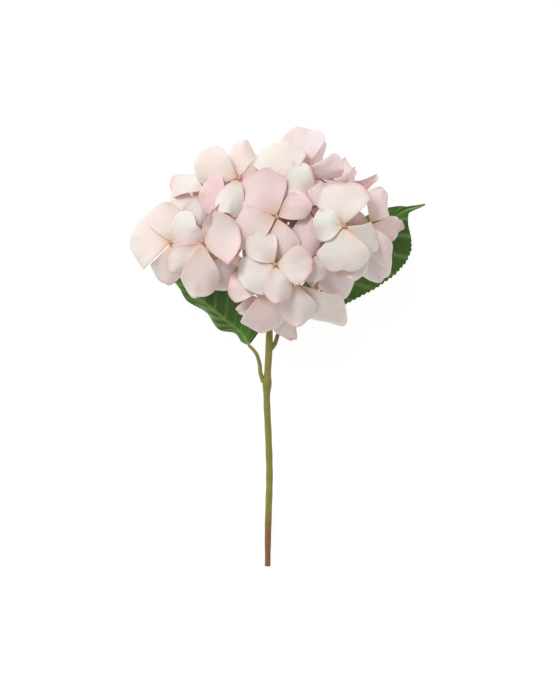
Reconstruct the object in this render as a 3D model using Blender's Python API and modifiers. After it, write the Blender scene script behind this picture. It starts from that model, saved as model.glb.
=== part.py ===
"""A cut mophead hydrangea, lying on its back on a table.

Frame: +Y runs up the stem to the flower head, +X to the right and +Z up from the table.
Sizes are millimetres; MM turns them into Blender's metres. Points of the head are measured from
its middle, and the root empty moves the finished stem so that its origin is below its middle.
"""

import math

import bmesh
import bpy
from mathutils import Matrix, Vector
from mathutils.bvhtree import BVHTree

MM = 0.001

# Head: the hearts of the florets lie on an ellipsoid about the head's middle
HEAD_MIDDLE = Vector((0, 0, 58))
DOME = Vector((96, 76, 48))
CORE = Vector((68, 49, 44))

# Florets
HEART_RADIUS = 2.4
HEART_TURN, HEART_TURNS = 7, 40
HEART_SWELL = 1.008
HEART_TURN_AXIS = Vector((0.36, 0.48, 0.8))
PETAL_THICKNESS = 0.5
PETAL_LENGTH = 30
PETAL_WIDTH = 27
PETAL_ARCH = 0.09
TIP_ROUNDING = 0.2
WIDEST_AT = 0.64
CLAW_HALF = 1.3
CLAW_SHARE = 0.44
CLAW_START = 1.2
PETAL_ROWS, PETAL_COLUMNS = 4, 2
PEDICEL_RADIUS = 0.75
PEDICEL_REACH = 0.7

# What keeps neighbours apart
SEAT_GAP = 0.35
SHEET_GAP = PETAL_THICKNESS + SEAT_GAP
SHRINKS = (1, 0.94, 0.87, 0.8, 0.73, 0.66, 0.58, 0.5, 0.42)
LEANS = (0, 2, -2, 4, -4, 6, -6, 8, -8, 11, -11, 14, -14, 17, -17, 20, -20, 24, -24)
LIFTS = (0, 2, 4, -2, 6, -4, 8, 10, 12)

# A narrow gap left open right through the head
GAP_MIDDLE, GAP_RADIUS = (-25, -17), 4

# Stem, branches and leaves
STEM_RADIUS = 2.75
CUT_RADIUS = 2.3
STEM_PATH = (
    (0.4, -266, 2.6),
    (0.8, -234, 9),
    (1.9, -195, 17),
    (1.2, -165, 23),
    (-0.2, -132, 29.5),
    (0.4, -112, 33.5),
    (1.6, -90, 38),
    (2, -68, 42.5),
    (2, -46, 47),
)
HUB = Vector((2, -36, 49))
HUB_RADIUS = 7
BRANCH_RADIUS = 1.5
KNOB_RADIUS = 4.2
BRANCH_ENDS = {
    "branch_left": (-52, -23, 56),
    "branch_upper_left": (-32, 26, 62),
    "branch_top": (12, 34, 60),
    "branch_upper_right": (46, 26, 54),
    "branch_right": (52, -10, 54),
    "branch_front": (4, -4, 80),
    "branch_back": (-8, -2, 30),
}
PETIOLE_RADIUS = 1.2
LEAF_THICKNESS = 0.6


def petal(x, y, width, rise=0.0, cup=-3.0, bank=0.0):
    """One petal: its tip on the head, its width, how far the tip stands off the dome, how far
    its edges stand off its middle, and how far it is rolled about its own length, in degrees."""
    return {"tip": (x, y), "width": width, "rise": rise, "cup": cup, "bank": bank}


# The florets of the upper side: heart on the head, height over the dome, petals
UPPER_FLORETS = (
    ((-77, -7), 2, (petal(-107, -3, 36, 4), petal(-84, 22, 22), petal(-57, 6, 26, 3), petal(-80, -38, 22, -6))),
    ((-52, -6), 10, (petal(-24, -1, 34, 2, 5), petal(-38, 20, 18, 8, 3, 35), petal(-53, -47, 25), petal(-74, -27, 22, -6))),
    ((-42, -18), -9, (petal(-33, -42, 24), petal(-66, -32, 20, -6), petal(-27, -5, 13, -6), petal(-50, 8, 18, -8))),
    ((-50, 34), 0, (petal(-74, 44, 20, -4, -3, 20), petal(-57, 9, 20, -2), petal(-33, 54, 22, -4), petal(-28, 22, 18, -8))),
    ((-58, 24), -9, (petal(-76, 28, 25, -2), petal(-62, 2, 17, -4), petal(-47, 47, 18, -4), petal(-38, 16, 16, -6))),
    ((-31, 27), 13, (petal(-52, 35, 26), petal(-12, 46, 23, 3), petal(-10, 19, 18, 0, -3, -25), petal(-37, 8, 16, -6))),
    ((-22, 44), 2, (petal(-54, 57, 27, -3), petal(-21, 72, 21, -8), petal(5, 54, 20, -3), petal(-32, 20, 18, -9))),
    ((8, 13), 4, (petal(-29, 3, 31, 2), petal(-8, 47, 32, 5), petal(15, -18, 21, 0), petal(31, 26, 18, -9))),
    ((33, 20), 0, (petal(16, 32, 19, 2), petal(41, 41, 19, 0), petal(53, 12, 16, -8), petal(28, -14, 20, 0))),
    ((12, 39), 4, (petal(7, 70, 35, 2), petal(33, 49, 22, 2), petal(-14, 36, 22, -8), petal(24, 18, 18, -9))),
    ((30, 52), -4, (petal(27, 82, 29, 0, 3), petal(48, 71, 20, -2, -3, 55), petal(57, 48, 22, -4, -3, 40), petal(8, 48, 20, -8))),
    ((52, 42), -10, (petal(83, 53, 19, -6, 2, 60), petal(56, 70, 18, -6, -3, 30), petal(34, 34, 18, -6), petal(66, 20, 20, -6))),
    ((64, 38), -17, (petal(88, 46, 18, -2, 2, 50), petal(62, 60, 20, -4), petal(44, 34, 16, -4), petal(74, 16, 18, -6))),
    ((60, 6), 9, (petal(57, 38, 36, 0), petal(60, -27, 34, 2), petal(84, -10, 22, -4), petal(38, 8, 22, -2))),
    ((76, 8), -6, (petal(88, 33, 24, -2, -3, 20), petal(100, 5, 17, -2, 4, 25), petal(89, -24, 20, -4), petal(54, 12, 16, -8))),
    ((78, -8), -14, (petal(92, -35, 22, 2), petal(101, 10, 16, -2, 4, 20), petal(66, -30, 18, -4), petal(62, 14, 16, -6))),
    ((46, -12), -4, (petal(61, -48, 25, 2), petal(37, -40, 13, 0, -3, -35), petal(27, -4, 16, -4), petal(60, 10, 16, -8))),
    ((6, -24), 8, (petal(-18, -38, 27, 0), petal(33, -26, 25, 2, 4), petal(8, -52, 19, 2), petal(-10, -3, 22, -1))),
    ((23, -38), 2, (petal(24, -69, 27, 2), petal(57, -69, 24, -12, -3, 15), petal(42, -22, 18, -8), petal(2, -46, 18, -5))),
    ((-6, -46), 0, (petal(-28, -38, 23, -2), petal(1, -75, 33, 0), petal(18, -52, 15, -5), petal(-6, -24, 18, -8))),
    ((1, -55), -13, (petal(-23, -59, 17, -2), petal(21, -82, 18, -4), petal(26, -48, 18, -4), petal(-8, -32, 16, -6))),
)

# The florets round the head's edge and under it: angle below the edge, azimuths
LOWER_RINGS = (
    (4, (18, 60, 98, 136, 172, 205, 335)),
    (40, (0, 45, 90, 135, 180, 222)),
    (74, (30, 150, 280)),
)

# Leaves: middle line, half widths and tilt of each half
LEFT_LEAF = {
    "midrib": ((-14.5, -88, 34.5), (-21, -78, 33), (-32, -69, 31), (-48, -56, 27), (-64, -43, 21), (-78, -34, 15)),
    "halves": ((11, -45), (31, 10)),
    "outline": ((0, 0.12), (0.05, 0.5), (0.2, 0.85), (0.45, 1), (0.7, 0.8), (0.85, 0.48), (0.95, 0.16), (1, 0.02)),
}
RIGHT_LEAF = {
    "midrib": ((17, -62, 17), (34, -47, 10), (58, -25, 6), (84, -1, 5), (106, 18.5, 6), (127, 25, 8)),
    "halves": ((26, 52), (36, -2)),
    "outline": (
        (0, 0.1),
        (0.08, 0.38),
        (0.23, 0.66),
        (0.31, 0.78),
        (0.42, 0.93),
        (0.52, 1),
        (0.6, 0.96),
        (0.66, 0.85),
        (0.72, 0.64),
        (0.78, 0.38),
        (0.86, 0.1),
        (1, 0.02),
    ),
}
LEAF_ROWS, LEAF_COLUMNS = 26, 4
LEFT_PETIOLE_PATH = ((-4.9, -116, 32.5), (-5.4, -110, 33), (-5.9, -104, 33.6), (-8, -96.5, 34.2), (-11, -92, 34.4), (-14, -88.7, 34.5))
RIGHT_PETIOLE_PATH = ((6.3, -88, 37.6), (8, -82, 37.2), (10, -76, 34.5), (12.5, -70, 29), (16.5, -62.8, 18))

COLOURS = {
    "petal": ((0.93, 0.80, 0.76, 1), 0.55),
    "green": ((0.10, 0.20, 0.04, 1), 0.40),
    "stem": ((0.26, 0.24, 0.04, 1), 0.50),
}


# ---- scene helpers


def collection_of(name, parent=None):
    made = bpy.data.collections.new(name)
    (parent or bpy.context.scene.collection).children.link(made)
    return made


def clear_scene():
    for leftover in list(bpy.data.objects):
        bpy.data.objects.remove(leftover)


def material_of(name, slot):
    colour, roughness = COLOURS[slot]
    made = bpy.data.materials.new(name)
    made.use_nodes = True
    shader = made.node_tree.nodes["Principled BSDF"]
    shader.inputs["Base Color"].default_value = colour
    shader.inputs["Roughness"].default_value = roughness
    shader.inputs["Metallic"].default_value = 0
    return made


def object_of(name, mesh, collection, slot="petal"):
    made = bpy.data.objects.new(name, mesh)
    made.data.materials.append(material_of(name, slot))
    collection.objects.link(made)
    return made


def helper_of(name, mesh):
    """A piece that a Boolean joins to another: the build leaves it out."""
    made = object_of(name, mesh, HELPERS)
    made.hide_render = True
    made.display_type = "WIRE"
    return made


def unite(target, others):
    """Joins helpers to a piece in one Boolean, as a collection of their own."""
    joined = collection_of(target.name + "_joined", HELPERS)
    for other in others:
        HELPERS.objects.unlink(other)
        joined.objects.link(other)
    joint = target.modifiers.new("joined", "BOOLEAN")
    joint.operation = "UNION"
    joint.solver = "EXACT"
    joint.operand_type = "COLLECTION"
    joint.collection = joined


# ---- shapes


def grid_mesh(name, grid):
    """A mesh through a grid of points given in millimetres."""
    rows, columns = len(grid) - 1, len(grid[0]) - 1
    cells = bmesh.new()
    bmesh.ops.create_grid(cells, x_segments=columns, y_segments=rows, size=1)
    cells.verts.ensure_lookup_table()
    for index, corner in enumerate(cells.verts):
        corner.co = grid[index // (columns + 1)][index % (columns + 1)] * MM
    made = bpy.data.meshes.new(name)
    cells.to_mesh(made)
    cells.free()
    return made


def petal_half(u, width):
    """Half width along a petal: narrow at its claw, widest some way short of its tip."""
    swell = math.sin(math.pi / 2 * u / WIDEST_AT)
    return CLAW_HALF + (width / 2 - CLAW_HALF) * abs(swell) ** 1.15


def claw_room(heart, tips, index):
    """How fast a petal may widen from the heart without meeting the petals beside it."""
    along = (tips[index] - heart).normalized()
    others = [(tip - heart).normalized() for k, tip in enumerate(tips) if k != index]
    return math.tan(CLAW_SHARE * min(along.angle(other) for other in others))


def petal_grid(heart, tip, up, shape, shrink, room):
    """The middle surface of a petal, from its claw at the heart to its tip."""
    length = (tip - heart).length * shrink
    along = (tip - heart).normalized()
    side = Matrix.Rotation(math.radians(shape["bank"]), 3, along) @ up.cross(along).normalized()
    out = along.cross(side)
    grid = []
    for row in range(PETAL_ROWS + 1):
        u = row / PETAL_ROWS
        arch = PETAL_ARCH * length * math.sin(math.pi * u)
        line = []
        for column in range(PETAL_COLUMNS + 1):
            v = 2 * column / PETAL_COLUMNS - 1
            reach = CLAW_START + (length - CLAW_START) * u * (1 - TIP_ROUNDING * u * v * v)
            half = petal_half(u, shape["width"] * shrink)
            if row < 2:
                half = min(half, (CLAW_START + (length - CLAW_START) * u) * room)
            stand = arch + shape["cup"] * u * v * v
            line.append(heart + along * reach + side * half * v + out * stand)
        grid.append(line)
    return grid


def smooth_path(points, steps):
    """A Catmull-Rom curve through the points, as evenly numbered steps."""
    points = [Vector(p) for p in points]
    ends = [2 * points[0] - points[1]] + points + [2 * points[-1] - points[-2]]
    path = []
    for step in range(steps + 1):
        at = step / steps * (len(points) - 1)
        i = min(int(at), len(points) - 2)
        t = at - i
        a, b, c, d = ends[i : i + 4]
        bend = (c - a) * t + (2 * a - 5 * b + 4 * c - d) * t**2 + (3 * b - a - 3 * c + d) * t**3
        path.append(b + bend / 2)
    return path


def tube_mesh(name, path, radii, sides=3):
    """A tube along a path, as the evaluated mesh of a bevelled poly curve with its caps welded."""
    curve = bpy.data.curves.new(name, "CURVE")
    curve.dimensions = "3D"
    curve.bevel_depth = MM
    curve.bevel_resolution = sides - 2
    curve.use_fill_caps = True
    spline = curve.splines.new("POLY")
    spline.points.add(len(path) - 1)
    for point, place, radius in zip(spline.points, path, radii):
        point.co = (*(place * MM), 1)
        point.radius = radius
    guide = bpy.data.objects.new(name + "_guide", curve)
    bpy.context.scene.collection.objects.link(guide)
    bpy.context.view_layer.update()
    evaluated = guide.evaluated_get(bpy.context.evaluated_depsgraph_get())
    made = bpy.data.meshes.new_from_object(evaluated)
    bpy.data.objects.remove(guide)
    welded = bmesh.new()
    welded.from_mesh(made)
    bmesh.ops.remove_doubles(welded, verts=welded.verts, dist=0.00001)
    welded.to_mesh(made)
    welded.free()
    return made


def ball_mesh(name, centre, radius, subdivisions=1):
    ball = bmesh.new()
    place = Matrix.Translation(centre * MM)
    bmesh.ops.create_icosphere(ball, subdivisions=subdivisions, radius=radius * MM, matrix=place)
    made = bpy.data.meshes.new(name)
    ball.to_mesh(made)
    ball.free()
    return made


# ---- keeping pieces apart


class Sheet:
    """A surface that others must stay clear of, with points spread over it."""

    def __init__(self, points, faces, gap=SHEET_GAP):
        self.tree = BVHTree.FromPolygons(points, faces)
        middles = [sum((points[i] for i in face), Vector()) / len(face) for face in faces]
        edges = {tuple(sorted((f[k], f[k - 1]))) for f in faces for k in range(len(f))}
        halves = [(points[a] + points[b]) / 2 for a, b in edges]
        self.samples = list(points) + middles + halves
        self.centre = sum(points, Vector()) / len(points)
        self.radius = max((p - self.centre).length for p in points)
        self.gap = gap

    def near(self, samples, gap):
        return any(self.tree.find_nearest(p, gap)[0] for p in samples)

    def clears(self, other):
        gap = max(self.gap, other.gap)
        if (self.centre - other.centre).length > self.radius + other.radius + gap:
            return True
        if self.tree.overlap(other.tree):
            return False
        return not (self.near(other.samples, gap) or other.near(self.samples, gap))


def grid_sheet(grid, first_row=0):
    columns = len(grid[0])
    rows = grid[first_row:]
    points = [p for row in rows for p in row]
    faces = []
    for r in range(len(rows) - 1):
        for c in range(columns - 1):
            corner = r * columns + c
            below = corner + columns
            faces += [(corner, corner + 1, below + 1), (corner, below + 1, below)]
    return Sheet(points, faces)


def rod_sheet(start, end, radius, sides=4):
    """A fat rod in a pedicel's or a branch's place."""
    along = (end - start).normalized()
    side = along.orthogonal().normalized()
    ring = [Matrix.Rotation(2 * math.pi * k / sides, 3, along) @ side * radius for k in range(sides)]
    points = [start + r for r in ring] + [end + r for r in ring]
    faces = []
    for k in range(sides):
        n = (k + 1) % sides
        faces += [(k, n, sides + n), (k, sides + n, sides + k)]
    return Sheet(points, faces, SEAT_GAP)


def ball_sheet(centre, radius):
    """A ball seen as a short fat rod."""
    reach = Vector((0, 0, radius * 0.7))
    return rod_sheet(centre - reach, centre + reach, radius + SEAT_GAP, 8)


def all_clear(sheet, others):
    return all(sheet.clears(other) for other in others)


# ---- the plan of the head


def dome_height(x, y):
    """How high the upper side of the head stands over its middle at a place seen from above."""
    inside = 1 - (x / DOME.x) ** 2 - (y / DOME.y) ** 2
    return DOME.z * math.sqrt(max(inside, 0.04))


def outward(place):
    offset = place - HEAD_MIDDLE
    return Vector((offset.x / DOME.x, offset.y / DOME.y, offset.z / DOME.z)).normalized()


def upper_floret(name, heart, height, petals):
    x, y = heart
    base = HEAD_MIDDLE.z + dome_height(x, y) + height
    place = Vector((x, y, base))
    tips = []
    for each in petals:
        tip_x, tip_y = each["tip"]
        fall = max(-20, min(20, dome_height(tip_x, tip_y) - dome_height(x, y)))
        tips.append(Vector((tip_x, tip_y, base + fall + each["rise"])))
    return {"name": name, "heart": place, "tips": tips, "petals": petals, "up": Vector((0, 0, 1)), "axis": outward(place)}


def lower_floret(name, azimuth, below, turn):
    """A floret on the core ellipsoid, with four even petals that follow its curve."""
    a, e = math.radians(azimuth), math.radians(-below)
    offset = Vector((math.cos(a) * math.cos(e) * CORE.x, math.sin(a) * math.cos(e) * CORE.y, math.sin(e) * CORE.z))
    place = HEAD_MIDDLE + offset
    axis = Vector((offset.x / CORE.x**2, offset.y / CORE.y**2, offset.z / CORE.z**2)).normalized()
    first = axis.cross(Vector((0.2, 0.1, 1))).normalized()
    tips, petals = [], []
    for k in range(4):
        direction = Matrix.Rotation(math.radians(turn + 90 * k), 3, axis) @ first
        tips.append(place + direction * PETAL_LENGTH - axis * 5)
        petals.append(petal(0, 0, PETAL_WIDTH))
    return {"name": name, "heart": place, "tips": tips, "petals": petals, "up": axis, "axis": axis}


def plan_florets():
    planned = []
    for below, azimuths in LOWER_RINGS:
        for k, azimuth in enumerate(azimuths):
            planned.append(lower_floret(f"floret_{len(planned) + 1:02d}", azimuth, below, 45 * (k % 2)))
    for heart, height, petals in UPPER_FLORETS:
        planned.append(upper_floret(f"floret_{len(planned) + 1:02d}", heart, height, petals))
    return planned


def nearest_branch(heart):
    ends = {name: Vector(end) for name, end in BRANCH_ENDS.items()}
    return min(ends.values(), key=lambda end: (end - heart).length)


def pedicel_ends(heart, knob):
    """A pedicel runs from just off the branch's knob to the heart."""
    direction = (heart - knob).normalized()
    return knob + direction * (KNOB_RADIUS + SEAT_GAP), heart


def lay_petals(floret, heart, placed):
    """The floret's petal grids with its heart here, each leaned and shortened until it is clear."""
    grids, sheets, blades = [], [], []
    for index, (shape, tip) in enumerate(zip(floret["petals"], floret["tips"])):
        moved = tip + heart - floret["heart"]
        room = claw_room(floret["heart"], floret["tips"], index)
        found = None
        for shrink in SHRINKS:
            for lean in LEANS:
                leaned = moved + floret["up"] * lean
                grid = petal_grid(heart, leaned, floret["up"], shape, shrink, room)
                if min(p.z for row in grid for p in row) < PETAL_THICKNESS:
                    continue
                blade, whole = grid_sheet(grid, 1), grid_sheet(grid)
                if all_clear(blade, blades) and all_clear(whole, placed):
                    found = grid, whole, blade
                    break
            if found:
                break
        if not found:
            return None
        grids.append(found[0])
        sheets.append(found[1])
        blades.append(found[2])
    return grids, sheets


def settle_florets(planned, obstacles, knobs):
    """Places the florets from the table up, each as near to its plan as its neighbours leave room."""
    pedicels = {}
    for floret in planned:
        knob = nearest_branch(floret["heart"])
        foot, top = pedicel_ends(floret["heart"], knob)
        pedicels[floret["name"]] = rod_sheet(foot, top, PEDICEL_RADIUS + SEAT_GAP)
    placed = list(obstacles)
    settled = []
    for floret in sorted(planned, key=lambda f: f["heart"].z):
        others = [rod for name, rod in pedicels.items() if name != floret["name"]]
        for lift in LIFTS:
            heart = floret["heart"] + floret["axis"] * lift
            knob = nearest_branch(floret["heart"])
            foot, top = pedicel_ends(heart, knob)
            near_end = foot.lerp(top, 0.85)
            rod = rod_sheet(foot, near_end, PEDICEL_RADIUS + SEAT_GAP)
            middle = ball_sheet(heart, HEART_RADIUS)
            if not all_clear(rod, placed) or not all_clear(middle, placed + others + knobs):
                continue
            laid = lay_petals(floret, heart, placed + others + knobs)
            if laid:
                break
        else:
            print("no room for", floret["name"], tuple(round(c) for c in floret["heart"]))
            continue
        pedicels[floret["name"]] = rod
        placed += laid[1] + [middle]
        settled.append({**floret, "heart": heart, "foot": foot, "grids": laid[0]})
    return settled


# ---- building


def is_sound(piece):
    """Whether every edge of the finished piece, cut into triangles, has exactly two faces."""
    bpy.context.view_layer.update()
    finished = piece.evaluated_get(bpy.context.evaluated_depsgraph_get())
    cells = bmesh.new()
    cells.from_mesh(finished.to_mesh())
    sound = all(len(edge.link_faces) == 2 for edge in cells.edges)
    cells.free()
    finished.to_mesh_clear()
    return sound


def turn_heart_until_sound(piece, heart):
    """Turns and swells the ball under the petals bit by bit until its facets meet them cleanly."""
    middle = Matrix.Translation(heart * MM)
    step = Matrix.Rotation(math.radians(HEART_TURN), 4, HEART_TURN_AXIS) @ Matrix.Scale(HEART_SWELL, 4)
    for _ in range(HEART_TURNS):
        if is_sound(piece):
            return
        piece.data.transform(middle @ step @ middle.inverted())
    print("the heart of", piece.name, "does not meet its petals cleanly")


def build_floret(floret):
    name, heart = floret["name"], floret["heart"]
    made = object_of(name, ball_mesh(name, heart, HEART_RADIUS), PARTS)
    radii = (PEDICEL_RADIUS * 1.2, PEDICEL_RADIUS)
    top = heart + (heart - floret["foot"]).normalized() * PEDICEL_REACH
    stalk = helper_of(name + "_pedicel", tube_mesh(name + "_pedicel", (floret["foot"], top), radii))
    blades = []
    for index, grid in enumerate(floret["grids"]):
        blade = helper_of(f"{name}_petal_{index + 1}", grid_mesh(f"{name}_petal_{index + 1}", grid))
        shell = blade.modifiers.new("thickness", "SOLIDIFY")
        shell.thickness = PETAL_THICKNESS * MM
        shell.offset = 0
        blades.append(blade)
    unite(made, [stalk] + blades)
    made.modifiers.new("triangles", "TRIANGULATE")
    turn_heart_until_sound(made, heart)
    return made


def share_at(outline, u):
    """The outline's value at u, straight between its points."""
    for (before, low), (after, high) in zip(outline, outline[1:]):
        if u <= after:
            return low + (high - low) * (u - before) / (after - before)
    return outline[-1][1]


def leaf_grid(leaf):
    """The middle surface of a leaf blade, folded along its midrib, with a toothed edge."""
    midrib = smooth_path(leaf["midrib"], LEAF_ROWS)
    grid = []
    for row, place in enumerate(midrib):
        u = row / LEAF_ROWS
        after = midrib[min(row + 1, LEAF_ROWS)]
        before = midrib[max(row - 1, 0)]
        along = (after - before).normalized()
        side = Vector((0, 0, 1)).cross(along).normalized()
        swell = share_at(leaf["outline"], u)
        tooth = 1 + (0.025 if row % 2 else -0.025)
        line = []
        for column in range(LEAF_COLUMNS + 1):
            v = 2 * column / LEAF_COLUMNS - 1
            width, tilt = leaf["halves"][0 if v > 0 else 1]
            turned = Matrix.Rotation(math.radians(tilt), 3, along) @ side
            if v < 0:
                turned = Matrix.Rotation(math.radians(-tilt), 3, along) @ side
            half = max(width * swell * tooth, 0.9)
            line.append(place + turned * half * v)
        grid.append(line)
    return grid


def build_leaf(name, leaf):
    grid = leaf_grid(leaf)
    made = object_of(name, grid_mesh(name, grid), PARTS, "green")
    shell = made.modifiers.new("thickness", "SOLIDIFY")
    shell.thickness = LEAF_THICKNESS * MM
    shell.offset = 0
    return grid_sheet(grid)


def build_stem():
    path = smooth_path(STEM_PATH, 26)
    radii = [CUT_RADIUS + (STEM_RADIUS - CUT_RADIUS) * min(1, 3 * k / len(path)) for k in range(len(path))]
    made = object_of("stem", tube_mesh("stem", path + [HUB], radii + [STEM_RADIUS], 5), PARTS, "stem")
    hub = helper_of("stem_hub", ball_mesh("stem_hub", HUB, HUB_RADIUS, 2))
    unite(made, [hub])


def build_branches():
    """Tubes from just off the hub to a knob that carries the pedicels."""
    sheets = []
    for name, end in BRANCH_ENDS.items():
        end = Vector(end)
        start = HUB + (end - HUB).normalized() * (HUB_RADIUS + SEAT_GAP)
        made = object_of(name, ball_mesh(name, end, KNOB_RADIUS, 2), PARTS, "green")
        limb = helper_of(name + "_limb", tube_mesh(name + "_limb", (start, end), (BRANCH_RADIUS, BRANCH_RADIUS)))
        unite(made, [limb])
        sheets.append(rod_sheet(start, end, BRANCH_RADIUS + SEAT_GAP))
    return sheets


def build_petiole(name, path):
    smooth = smooth_path(path, 10)
    radii = [PETIOLE_RADIUS * (1.5 - 0.5 * min(1, 2.5 * k / 10)) for k in range(11)]
    object_of(name, tube_mesh(name, smooth, radii, 4), PARTS, "green")
    return [rod_sheet(a, b, PETIOLE_RADIUS + SEAT_GAP) for a, b in zip(smooth, smooth[1:])]


def settle_origin():
    """Parents every piece to one empty, moved so that the origin is below the middle of the box."""
    bpy.context.view_layer.update()
    graph = bpy.context.evaluated_depsgraph_get()
    corners = []
    for piece in PARTS.objects:
        mesh = piece.evaluated_get(graph).to_mesh()
        corners += [v.co.copy() for v in mesh.vertices]
    low = Vector([min(c[k] for c in corners) for k in range(3)])
    high = Vector([max(c[k] for c in corners) for k in range(3)])
    root = bpy.data.objects.new("hydrangea_root", None)
    root.location = (-(low.x + high.x) / 2, -(low.y + high.y) / 2, -low.z)
    PARTS.objects.link(root)
    for piece in list(PARTS.objects) + list(HELPERS.all_objects):
        if piece != root:
            piece.parent = root
    print("box", [round(c / MM, 1) for c in (*low, *high)])




clear_scene()
PARTS = collection_of("cut_hydrangea")
HELPERS = collection_of("helpers")
build_stem()
OBSTACLES = build_branches()
OBSTACLES.append(build_leaf("leaf_left", LEFT_LEAF))
OBSTACLES.append(build_leaf("leaf_right", RIGHT_LEAF))
OBSTACLES += build_petiole("petiole_left", LEFT_PETIOLE_PATH)
OBSTACLES += build_petiole("petiole_right", RIGHT_PETIOLE_PATH)
STEM_LINE = smooth_path(STEM_PATH, 8) + [HUB]
OBSTACLES += [rod_sheet(a, b, STEM_RADIUS + SEAT_GAP) for a, b in zip(STEM_LINE, STEM_LINE[1:])]
GAP_FOOT = Vector((*GAP_MIDDLE, 0))
OBSTACLES.append(rod_sheet(GAP_FOOT, GAP_FOOT + Vector((0, 0, 110)), GAP_RADIUS))
KNOBS = [ball_sheet(Vector(end), KNOB_RADIUS) for end in BRANCH_ENDS.values()]
KNOBS.append(ball_sheet(HUB, HUB_RADIUS))
for each_floret in settle_florets(plan_florets(), OBSTACLES, KNOBS):
    build_floret(each_floret)
settle_origin()
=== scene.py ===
"""The looks of a cut hydrangea lying on a white table, seen from above."""

import math

import bmesh
import bpy
import numpy as np
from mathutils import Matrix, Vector


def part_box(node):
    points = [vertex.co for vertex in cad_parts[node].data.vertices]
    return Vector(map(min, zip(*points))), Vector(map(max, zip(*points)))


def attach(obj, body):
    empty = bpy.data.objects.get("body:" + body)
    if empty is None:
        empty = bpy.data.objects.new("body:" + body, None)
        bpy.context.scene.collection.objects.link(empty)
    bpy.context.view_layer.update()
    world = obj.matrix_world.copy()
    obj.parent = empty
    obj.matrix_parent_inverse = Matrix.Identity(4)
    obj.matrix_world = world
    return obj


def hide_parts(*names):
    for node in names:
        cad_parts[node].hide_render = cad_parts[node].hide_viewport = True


MM = 0.001
CAMERA_HEIGHT = 7

# Colours, linear
CREAM = np.array((0.92, 0.845, 0.765))
PINK = np.array((0.93, 0.58, 0.60))
LAVENDER = np.array((0.83, 0.74, 0.80))
PEACH = np.array((0.86, 0.50, 0.33))
BUD = np.array((0.50, 0.26, 0.13))
STALK = np.array((0.34, 0.36, 0.10))
LEAF_DARK, LEAF_LIGHT, LEAF_VEIN = (0.008, 0.034, 0.002), (0.042, 0.125, 0.006), (0.16, 0.27, 0.07)
OLIVE, BROWN = (0.26, 0.235, 0.040), (0.26, 0.115, 0.035)

# Florets: how pink and how lavender each is, for those whose colour shows from above
TONES = {
    17: (0.12, 0.3), 18: (0.3, 0.1), 19: (0.5, 0.5), 20: (0.1, 0.3), 21: (0.2, 0.3), 22: (0.85, 0.1), 23: (0.15, 0),
    24: (0.55, 0), 25: (0.65, 0.2), 26: (0.15, 0), 27: (0.4, 0.6), 29: (0.5, 0.4), 30: (0.05, 0.05), 31: (0.45, 0.2),
    32: (0.25, 0.5), 33: (0.3, 0.3), 34: (0.2, 0.1), 35: (0.3, 0.1), 36: (0.4, 0.1), 37: (0.3, 0.4),
}
USUAL_TONE = (0.25, 0.2)
GRID_U, GRID_V = 21, 19
PETAL_THICKNESS = 0.24
TABLE_GAP = 0.5 * MM
WIDER, LONGER = 1.36, 1.12
POINTED = {29: 1.3, 31: 0.4, 37: 0.9}

# The plan that the CAD part was made from, in millimetres from the head's middle
HUB, HUB_RADIUS = (2, -36, 49), 7
STEM_PATH = (
    (0.4, -266, 2.6), (0.8, -234, 9), (1.9, -195, 17), (1.2, -165, 23), (-0.2, -132, 29.5), (0.4, -112, 33.5),
    (1.6, -90, 38), (2, -68, 42.5), (2, -46, 47), HUB,
)
BRANCH_ENDS = {
    "branch_left": (-52, -23, 56), "branch_upper_left": (-32, 26, 62), "branch_top": (12, 34, 60),
    "branch_upper_right": (46, 26, 54), "branch_right": (52, -10, 54), "branch_front": (4, -4, 80),
    "branch_back": (-8, -2, 30),
}
LEFT_PETIOLE = ((-3.0, -118, 32.2), (-5.4, -110, 33), (-5.9, -104, 33.6), (-8, -96.5, 34.2), (-11, -92, 34.4), (-15, -88, 34.5))
RIGHT_PETIOLE = ((3.4, -91, 37.8), (6.3, -87, 37.6), (8, -82, 37.2), (10, -76, 34.5), (12.5, -70, 29), (17.5, -61.5, 17))
LEAVES = {
    "leaf_left": {
        "midrib": ((-14.5, -88, 34.5), (-21, -78, 33), (-32, -69, 31), (-48, -56, 27), (-64, -43, 21), (-78, -34, 15)),
        "halves": ((11, -45), (31, 10)),
        "outline": ((0, 0.12), (0.05, 0.5), (0.2, 0.85), (0.45, 1), (0.7, 0.8), (0.85, 0.48), (0.95, 0.16), (1, 0.02)),
        "wave": 3.2,
    },
    "leaf_right": {
        "midrib": ((17, -62, 17), (34, -47, 10), (58, -25, 6), (84, -1, 5), (106, 18.5, 6), (127, 25, 8)),
        "halves": ((26, 52), (36, -2)),
        "outline": (
            (0, 0.1), (0.08, 0.38), (0.23, 0.66), (0.31, 0.78), (0.42, 0.93), (0.52, 1), (0.6, 0.96), (0.66, 0.85),
            (0.72, 0.64), (0.78, 0.38), (0.86, 0.1), (1, 0.02),
        ),
        "wave": 1.4,
    },
}
LEAF_ROWS, LEAF_COLUMNS, LEAF_TEETH = 132, 28, 44


# ---- materials


def shader_of(name, roughness, **constants):
    made = bpy.data.materials.new(name)
    made.use_nodes = True
    shader = made.node_tree.nodes["Principled BSDF"]
    shader.inputs["Roughness"].default_value = roughness
    for label, value in constants.items():
        shader.inputs[label.replace("_", " ")].default_value = value
    return made, made.node_tree, shader


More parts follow.
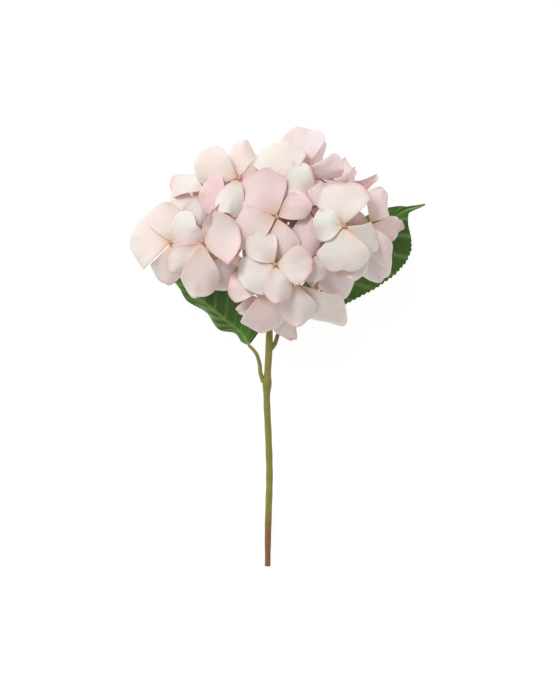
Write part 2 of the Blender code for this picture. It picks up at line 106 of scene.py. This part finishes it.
def tinted_material(name, roughness, bump, scale, **constants):
    """Its colour is painted on the vertices; fine veins run along each petal."""
    made, tree, shader = shader_of(name, roughness, **constants)
    paint = tree.nodes.new("ShaderNodeAttribute")
    paint.attribute_name = "paint"
    along = tree.nodes.new("ShaderNodeAttribute")
    along.attribute_name = "along"
    streaks = tree.nodes.new("ShaderNodeTexNoise")
    streaks.inputs["Scale"].default_value = scale
    streaks.inputs["Detail"].default_value = 3
    tree.links.new(along.outputs["Vector"], streaks.inputs["Vector"])
    mix = tree.nodes.new("ShaderNodeMix")
    mix.data_type = "RGBA"
    mix.blend_type = "MULTIPLY"
    mix.inputs["Factor"].default_value = 0.16
    tree.links.new(paint.outputs["Color"], mix.inputs["A"])
    tone = tree.nodes.new("ShaderNodeMapRange")
    tone.inputs["To Min"].default_value = 0.55
    tone.inputs["To Max"].default_value = 1.35
    tree.links.new(streaks.outputs["Fac"], tone.inputs["Value"])
    tree.links.new(tone.outputs["Result"], mix.inputs["B"])
    tree.links.new(mix.outputs["Result"], shader.inputs["Base Color"])
    relief = tree.nodes.new("ShaderNodeBump")
    relief.inputs["Strength"].default_value = bump
    relief.inputs["Distance"].default_value = 0.0006
    tree.links.new(streaks.outputs["Fac"], relief.inputs["Height"])
    tree.links.new(relief.outputs["Normal"], shader.inputs["Normal"])
    return made


def stem_material():
    """Olive, darker in streaks, turning brown at the cut end."""
    made, tree, shader = shader_of("stem", 0.5)
    place = tree.nodes.new("ShaderNodeTexCoord")
    split = tree.nodes.new("ShaderNodeSeparateXYZ")
    tree.links.new(place.outputs["Object"], split.inputs["Vector"])
    ramp = tree.nodes.new("ShaderNodeMapRange")
    ramp.inputs["From Min"].default_value = -0.150
    ramp.inputs["From Max"].default_value = -0.128
    tree.links.new(split.outputs["Y"], ramp.inputs["Value"])
    mix = tree.nodes.new("ShaderNodeMix")
    mix.data_type = "RGBA"
    mix.inputs["A"].default_value = (*BROWN, 1)
    mix.inputs["B"].default_value = (*OLIVE, 1)
    tree.links.new(ramp.outputs["Result"], mix.inputs["Factor"])
    noise = tree.nodes.new("ShaderNodeTexNoise")
    noise.inputs["Scale"].default_value = 160
    tone = tree.nodes.new("ShaderNodeMapRange")
    tone.inputs["To Min"].default_value = 0.7
    tone.inputs["To Max"].default_value = 1.25
    tree.links.new(place.outputs["Object"], noise.inputs["Vector"])
    tree.links.new(noise.outputs["Fac"], tone.inputs["Value"])
    shade = tree.nodes.new("ShaderNodeMix")
    shade.data_type = "RGBA"
    shade.blend_type = "MULTIPLY"
    shade.inputs["Factor"].default_value = 1
    tree.links.new(mix.outputs["Result"], shade.inputs["A"])
    tree.links.new(tone.outputs["Result"], shade.inputs["B"])
    tree.links.new(shade.outputs["Result"], shader.inputs["Base Color"])
    return made


# ---- meshes from grids


def mesh_object(name, verts, faces, paint, along, materials, face_materials=None):
    mesh = bpy.data.meshes.new(name)
    mesh.from_pydata([tuple(v) for v in verts], [], [tuple(f) for f in faces])
    mesh.attributes.new("paint", "FLOAT_COLOR", "POINT").data.foreach_set(
        "color", np.column_stack([np.clip(paint, 0, 1), np.ones(len(verts))]).astype(np.float32).ravel()
    )
    mesh.attributes.new("along", "FLOAT_VECTOR", "POINT").data.foreach_set(
        "vector", np.asarray(along, np.float32).ravel()
    )
    for material in materials:
        mesh.materials.append(material)
    if face_materials is not None:
        mesh.polygons.foreach_set("material_index", np.asarray(face_materials, np.int32))
    mesh.polygons.foreach_set("use_smooth", np.ones(len(mesh.polygons), bool))
    mesh.update()
    made = bpy.data.objects.new(name, mesh)
    bpy.context.scene.collection.objects.link(made)
    return made


def sheet_faces(rows, columns, start):
    """Quads of the top, the bottom and the rim of a thick sheet of rows by columns points."""
    index = np.arange(rows * columns).reshape(rows, columns)
    quads = np.stack([index[:-1, :-1], index[:-1, 1:], index[1:, 1:], index[1:, :-1]], -1).reshape(-1, 4)
    under = quads[:, ::-1] + rows * columns
    ring = np.concatenate([index[0, :-1], index[:-1, -1], index[-1, :0:-1], index[:0:-1, 0]])
    after = np.roll(ring, -1)
    rim = np.stack([after, ring, ring + rows * columns, after + rows * columns], -1)
    return np.concatenate([quads, under, rim]) + start


def thick_sheet(points, thickness):
    """Both sides of a sheet: points moved half its thickness along its own normals."""
    du = np.gradient(points, axis=0)
    dv = np.gradient(points, axis=1)
    normal = np.cross(dv, du)
    normal /= np.linalg.norm(normal, axis=2, keepdims=True) + 1e-12
    return np.concatenate([(points - normal * thickness / 2).reshape(-1, 3), (points + normal * thickness / 2).reshape(-1, 3)])


def smooth_path(points, steps):
    points = np.asarray(points, float)
    ends = np.vstack([2 * points[0] - points[1], points, 2 * points[-1] - points[-2]])
    path = []
    for step in range(steps + 1):
        at = step / steps * (len(points) - 1)
        i = min(int(at), len(points) - 2)
        t = at - i
        a, b, c, d = ends[i : i + 4]
        bend = (c - a) * t + (2 * a - 5 * b + 4 * c - d) * t**2 + (3 * b - a - 3 * c + d) * t**3
        path.append(b + bend / 2)
    return np.array(path)


def tube(path, radii, sides=16):
    """Points and faces of a tube with closed ends."""
    along = np.gradient(path, axis=0)
    along /= np.linalg.norm(along, axis=1, keepdims=True)
    side = np.cross(along, (0.13, 0.2, 0.97))
    side /= np.linalg.norm(side, axis=1, keepdims=True)
    up = np.cross(side, along)
    turn = np.linspace(0, 2 * math.pi, sides, endpoint=False)
    ring = np.cos(turn)[None, :, None] * side[:, None, :] + np.sin(turn)[None, :, None] * up[:, None, :]
    verts = (path[:, None, :] + ring * np.asarray(radii)[:, None, None]).reshape(-1, 3)
    faces = []
    for k in range(len(path) - 1):
        for j in range(sides):
            n = (j + 1) % sides
            faces.append((k * sides + j, k * sides + n, (k + 1) * sides + n, (k + 1) * sides + j))
    faces.append(tuple(range(sides))[::-1])
    faces.append(tuple(range((len(path) - 1) * sides, len(path) * sides)))
    return verts, faces


def ball(centre, radius, flat=1.0):
    cells = bmesh.new()
    bmesh.ops.create_icosphere(cells, subdivisions=2, radius=radius)
    verts = [Vector(centre) + Vector((v.co.x, v.co.y, v.co.z * flat)) for v in cells.verts]
    faces = [tuple(v.index for v in f.verts) for f in cells.faces]
    cells.free()
    return np.array([v[:] for v in verts]), faces


# ---- florets


def node_shape(node):
    """A CAD node's points with shared ones merged, and its triangles."""
    mesh = node.data
    points = np.empty(len(mesh.vertices) * 3)
    mesh.vertices.foreach_get("co", points)
    mesh.calc_loop_triangles()
    corners = np.empty(len(mesh.loop_triangles) * 3, np.int32)
    mesh.loop_triangles.foreach_get("vertices", corners)
    merged, index = np.unique(np.round(points.reshape(-1, 3), 6), axis=0, return_inverse=True)
    return merged, index.reshape(-1)[corners].reshape(-1, 3)


def find_heart(points):
    near = (np.linalg.norm(points[:, None] - points[None], axis=2) < 4.8 * MM).sum(1)
    heart = points[near.argmax()]
    for _ in range(6):
        heart = points[np.linalg.norm(points - heart, axis=1) < 3.4 * MM].mean(0)
    return heart


def islands(points, triangles, keep):
    """Groups of kept points that triangles join."""
    parent = np.arange(len(points))

    def top(i):
        while parent[i] != i:
            i = parent[i]
        return i

    for triangle in triangles:
        kept = [i for i in triangle if keep[i]]
        for i in kept[1:]:
            parent[top(i)] = top(kept[0])
    groups = {}
    for i in np.flatnonzero(keep):
        groups.setdefault(top(i), []).append(i)
    return list(groups.values())


def petal_terms(s, t):
    return np.stack([s, s**2, s**3, t, s * t, t**2, s * t**2], -1)


def petal_sheet(points, heart, axis, rng, pointed):
    """A fine petal over the CAD petal's points: its middle surface, and u and v over it."""
    offset = (points - heart) / MM
    along = offset.mean(0)
    along /= np.linalg.norm(along)
    spread = np.linalg.svd(offset - offset.mean(0))[2]
    normal = spread[2] if spread[2] @ axis > 0 else -spread[2]
    across = np.cross(normal, along)
    across /= np.linalg.norm(across)
    normal = np.cross(along, across)
    s, t, n = offset @ along, offset @ across, offset @ normal
    fit = np.linalg.lstsq(petal_terms(s, t), n, rcond=None)[0]
    length, half, middle = s.max() * LONGER, (t.max() - t.min()) / 2 * WIDER, (t.max() + t.min()) / 2
    a, b = np.meshgrid(np.linspace(-1, 1, GRID_U), np.linspace(-1, 1, GRID_V), indexing="ij")
    y, x = a * np.sqrt(1 - b**2 / 2), b * np.sqrt(1 - a**2 / 2)
    u = 0.5 + 0.5 * y
    wide = np.clip(u / 0.6, 0.03, 1) ** 0.55
    wide = wide / (1 + pointed * np.clip((u - 0.35) / 0.65, 0, 1) ** 1.5 * 1.6)
    edge = np.clip(np.maximum(abs(a), abs(b)), 0, 1)
    turn = np.arctan2(x, y)
    sway = rng.uniform(-0.06, 0.06)
    reach = length * (0.03 + 0.97 * u) * (1 + 0.02 * np.sin(5 * turn + rng.uniform(0, 6)) * edge)
    reach = reach - length * rng.uniform(0.0, 0.05) * np.exp(-((x / 0.16) ** 2)) * (u > 0.8) * (u - 0.8) * 5
    sideways = half * x * wide + middle * u + sway * length * u**2
    stand = petal_terms(np.minimum(reach, length / LONGER * 1.03), sideways * 0.9) @ fit
    waves = np.sin(rng.integers(2, 4) * turn + rng.uniform(0, 6)) * rng.uniform(1.1, 2.4)
    waves = waves + np.sin(rng.integers(5, 8) * turn + rng.uniform(0, 6)) * rng.uniform(0.4, 0.9)
    waves = waves + 0.35 * np.sin(x * rng.uniform(9, 13) + 1.5 * np.sin(u * 6) + rng.uniform(0, 6))
    stand = stand + waves * edge**2 * np.clip(u * 1.6, 0, 1) + rng.uniform(-1.5, 1.0) * np.clip(edge - 0.75, 0, 1) * 4
    stand = stand - 0.35 * np.exp(-((x / 0.09) ** 2)) * np.clip(1 - u, 0, 1)
    sheet = heart + MM * (reach[..., None] * along + sideways[..., None] * across + stand[..., None] * normal)
    return sheet, u, x, edge


def petal_paint(u, x, edge, tone, rng):
    pink, lavender = tone
    pink = np.clip(pink + rng.uniform(-0.12, 0.12), 0, 1)
    body = CREAM + (PINK - CREAM) * pink
    body = body + (LAVENDER - body) * lavender * rng.uniform(0.6, 1)
    blush = np.clip(0.5 + 0.5 * np.sin(2.2 * x + 3 * u + rng.uniform(0, 6)), 0, 1)[..., None]
    paint = body + (PINK - body) * 0.6 * blush * (0.25 + pink)
    rim = np.clip((edge - 0.72) / 0.28, 0, 1)[..., None] ** 1.5 * np.clip(u * 2 - 0.4, 0, 1)[..., None]
    rim_colour = CREAM * 1.04 if rng.uniform() < 0.6 else PINK * np.array((0.98, 0.84, 0.93))
    paint = paint + (rim_colour - paint) * rim * 0.75
    deep = np.clip(1 - u / 0.34, 0, 1)[..., None] ** 1.3
    paint = paint + (PEACH - paint) * deep * 0.75
    return paint


def build_floret(name, node, materials):
    points, triangles = node_shape(node)
    heart = find_heart(points)
    away = np.linalg.norm(points - heart, axis=1)
    groups = islands(points, triangles, away > 5.5 * MM)
    blades = [g for g in groups if len(g) >= 14]
    rest = [g for g in groups if len(g) < 14]
    foot = points[max(rest, key=lambda g: away[g].max())].mean(0) if rest else heart - np.array((0, 0, 0.03))
    axis = heart - foot
    axis /= np.linalg.norm(axis) + 1e-9
    number = int(name.split("_")[1])
    rng = np.random.default_rng(number * 7 + 1)
    verts, faces, paint, along, slots = [], [], [], [], []
    count = 0
    for k, blade in enumerate(blades):
        sheet, u, x, edge = petal_sheet(points[blade], heart, axis, rng, POINTED.get(number, 0))
        sheet[..., 2] = np.maximum(sheet[..., 2], TABLE_GAP)
        coloured = petal_paint(u, x, edge, TONES.get(number, USUAL_TONE), rng)
        skin = thick_sheet(sheet, PETAL_THICKNESS * MM)
        quads = sheet_faces(GRID_U, GRID_V, count)
        flow = np.stack([u * 0.35 + number, x / (0.25 + u) * 1.6 + k * 3, np.full_like(u, k)], -1).reshape(-1, 3)
        verts.append(skin)
        faces += quads.tolist()
        paint += [coloured.reshape(-1, 3)] * 2
        along += [flow] * 2
        slots += [0] * len(quads)
        count += len(skin)
    for shape, colour in (
        (ball(heart + axis * 0.6 * MM, 1.9 * MM), BUD + (PINK - BUD) * 0.25),
        (tube(np.array([foot, (foot + heart) / 2, heart]), (0.95 * MM, 0.8 * MM, 0.75 * MM), 8), STALK),
    ):
        verts.append(shape[0])
        faces += [tuple(i + count for i in f) for f in shape[1]]
        paint.append(np.tile(colour, (len(shape[0]), 1)))
        along.append(shape[0] * 20)
        slots += [1] * len(shape[1])
        count += len(shape[0])
    return mesh_object("look_" + name, np.concatenate(verts), faces, np.concatenate(paint), np.concatenate(along), materials, slots), len(blades)


# ---- leaves, stem and branches


def build_leaf(name, leaf, shift, material):
    """A toothed, folded blade with raised panels between its side veins."""
    midrib = smooth_path(leaf["midrib"], LEAF_ROWS)
    outline = np.array(leaf["outline"])
    u = np.linspace(0, 1, LEAF_ROWS + 1)
    v = np.linspace(-1, 1, LEAF_COLUMNS + 1)
    tangent = np.gradient(midrib, axis=0)
    tangent /= np.linalg.norm(tangent, axis=1, keepdims=True)
    side = np.cross((0, 0, 1), tangent)
    side /= np.linalg.norm(side, axis=1, keepdims=True)
    up = np.cross(tangent, side)
    swell = np.interp(u, outline[:, 0], outline[:, 1])
    saw = 1 - 0.055 * ((u * LEAF_TEETH) % 1)
    points = np.zeros((len(u), len(v), 3))
    paint = np.zeros_like(points)
    for j, across in enumerate(v):
        width, tilt = leaf["halves"][0 if across > 0 else 1]
        angle = math.radians(tilt)
        share = abs(across)
        cut = np.where(share > 0.93, saw, 1)
        half = np.maximum(width * swell * cut, 0.8)
        ahead = 7 * share * swell
        phase = u * 9.5 - 1.15 * share * (1 - 0.2 * share)
        vein = np.exp(-((((phase + 0.5) % 1 - 0.5) * half[len(u) // 3] / 2.6) ** 2))
        branch = np.exp(-((((phase * 3.1 + share * 5 + 0.5) % 1 - 0.5) / 0.16) ** 2)) * 0.35
        rib = np.exp(-((share * half / 0.9) ** 2))
        panel = 1.0 * (1 - vein) * np.sin(math.pi * min(share + 0.08, 1)) * np.clip(swell * 1.5, 0, 1)
        wave = leaf["wave"] * share**2 * np.sin(u * 17 + across * 2) * swell
        rise = panel + wave - 0.35 * rib
        direction = side * math.cos(angle) * np.sign(across) + up * math.sin(angle)
        normal = up * math.cos(angle) - side * math.sin(angle) * np.sign(across)
        points[:, j] = midrib + direction * (half * share)[:, None] + normal * rise[:, None] + tangent * ahead[:, None]
        light = np.clip(0.75 * vein + 0.9 * rib + branch * 0.4, 0, 1)[:, None]
        ground = np.array(LEAF_DARK) + (np.array(LEAF_LIGHT) - LEAF_DARK) * (0.35 + 0.65 * (0.5 + 0.5 * np.sin(u * 9 + across * 3)))[:, None]
        paint[:, j] = ground + (np.array(LEAF_VEIN) - ground) * light * 0.75
    points = points[::-1] * MM + shift
    points[..., 2] = np.maximum(points[..., 2], 0.6 * MM)
    skin = thick_sheet(points, 0.5 * MM)
    flow = np.concatenate([points.reshape(-1, 3) * 14] * 2)
    paint = paint[::-1].reshape(-1, 3)
    return mesh_object("look_" + name, skin, sheet_faces(len(u), len(v), 0), np.concatenate([paint, paint * 1.5 + 0.01]), flow, [material])


def build_tube(name, path, radii, shift, colour, material, knob=None):
    verts, faces = tube(path * MM + shift, np.asarray(radii) * MM)
    if knob is not None:
        more, extra = ball(np.array(knob[0]) * MM + shift, knob[1] * MM)
        faces = list(faces) + [tuple(i + len(verts) for i in f) for f in extra]
        verts = np.concatenate([verts, more])
    return mesh_object("look_" + name, verts, faces, np.tile(colour, (len(verts), 1)), verts * 20, [material])


# ---- the scene

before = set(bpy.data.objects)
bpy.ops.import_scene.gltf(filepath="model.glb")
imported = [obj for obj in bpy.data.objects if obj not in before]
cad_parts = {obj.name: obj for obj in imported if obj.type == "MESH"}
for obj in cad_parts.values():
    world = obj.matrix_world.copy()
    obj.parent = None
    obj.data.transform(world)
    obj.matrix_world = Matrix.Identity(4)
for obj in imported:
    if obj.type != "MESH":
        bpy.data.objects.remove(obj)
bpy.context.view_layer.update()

petal_material = tinted_material("petal", 0.62, 0.30, 9, Subsurface_Weight=0.2, Subsurface_Scale=0.004)
green_material = tinted_material("stalk", 0.5, 0.1, 40)
leaf_material = tinted_material("leaf", 0.34, 0.6, 45, Specular_IOR_Level=0.3)
olive_material = stem_material()

stem_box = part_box("stem")
shift = np.array(stem_box[1]) - np.array((HUB[0] + HUB_RADIUS, HUB[1] + HUB_RADIUS, HUB[2] + HUB_RADIUS)) * MM


def show(piece, node):
    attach(piece, "root")
    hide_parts(node)


for node_name, node in sorted(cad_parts.items()):
    if node_name.startswith("floret"):
        piece, petals = build_floret(node_name, node, [petal_material, green_material])
        show(piece, node_name)
        if petals != 4:
            print(node_name, "has", petals, "petals")
for leaf_name, leaf in LEAVES.items():
    show(build_leaf(leaf_name, leaf, shift, leaf_material), leaf_name)

stem_line = smooth_path(STEM_PATH, 120)
height = stem_line[:, 1]
girth = 2.25 + 0.5 * np.clip((height + 266) / 30, 0, 1) + 0.95 * np.exp(-(((height + 119) / 6) ** 2))
girth = girth + 0.25 * np.exp(-(((height + 92) / 7) ** 2)) + 0.08 * np.sin(height * 0.35)
show(build_tube("stem", stem_line, girth, shift, STALK, olive_material, (HUB, HUB_RADIUS - 1)), "stem")
for name, path in (("petiole_left", LEFT_PETIOLE), ("petiole_right", RIGHT_PETIOLE)):
    line = smooth_path(path, 24)
    show(build_tube(name, line, np.linspace(1.9, 1.2, 25), shift, STALK, olive_material), name)
for name, end in BRANCH_ENDS.items():
    line = smooth_path((HUB, (np.array(HUB) + end) / 2, end), 8)
    piece = build_tube(name, line, np.linspace(1.7, 1.4, 9), shift, STALK * 0.9, green_material, (end, 3.6))
    show(piece, name)

# Table: mostly its own light, so that it stays white under a faint shadow
bpy.ops.mesh.primitive_plane_add(size=8, location=(0, 0, 0))
table = bpy.context.object
table.name = "table"
surface, tree, shader = shader_of("table", 0.9)
shader.inputs["Base Color"].default_value = (0.14, 0.14, 0.14, 1)
shader.inputs["Emission Color"].default_value = (1, 1, 1, 1)
shader.inputs["Emission Strength"].default_value = 0.92
table.data.materials.append(surface)

world = bpy.data.worlds.new("studio")
bpy.context.scene.world = world
world.use_nodes = True
world.node_tree.nodes["Background"].inputs["Color"].default_value = (1, 0.985, 0.955, 1)
world.node_tree.nodes["Background"].inputs["Strength"].default_value = 0.50
sun = bpy.data.objects.new("sun", bpy.data.lights.new("sun", "SUN"))
sun.data.energy = 1.75
sun.data.angle = math.radians(20)
sun.rotation_euler = Vector((0.45, -0.55, -1)).to_track_quat("-Z", "Y").to_euler()
bpy.context.scene.collection.objects.link(sun)

lens = bpy.data.cameras.new("camera")
camera = bpy.data.objects.new("camera", lens)
camera.location = (0, 0, CAMERA_HEIGHT)
lens.sensor_fit = "VERTICAL"
lens.angle = 2 * math.atan(0.28 / (CAMERA_HEIGHT - 0.05))
bpy.context.scene.collection.objects.link(camera)
bpy.context.scene.camera = camera
bpy.context.scene.view_settings.view_transform = "Standard"
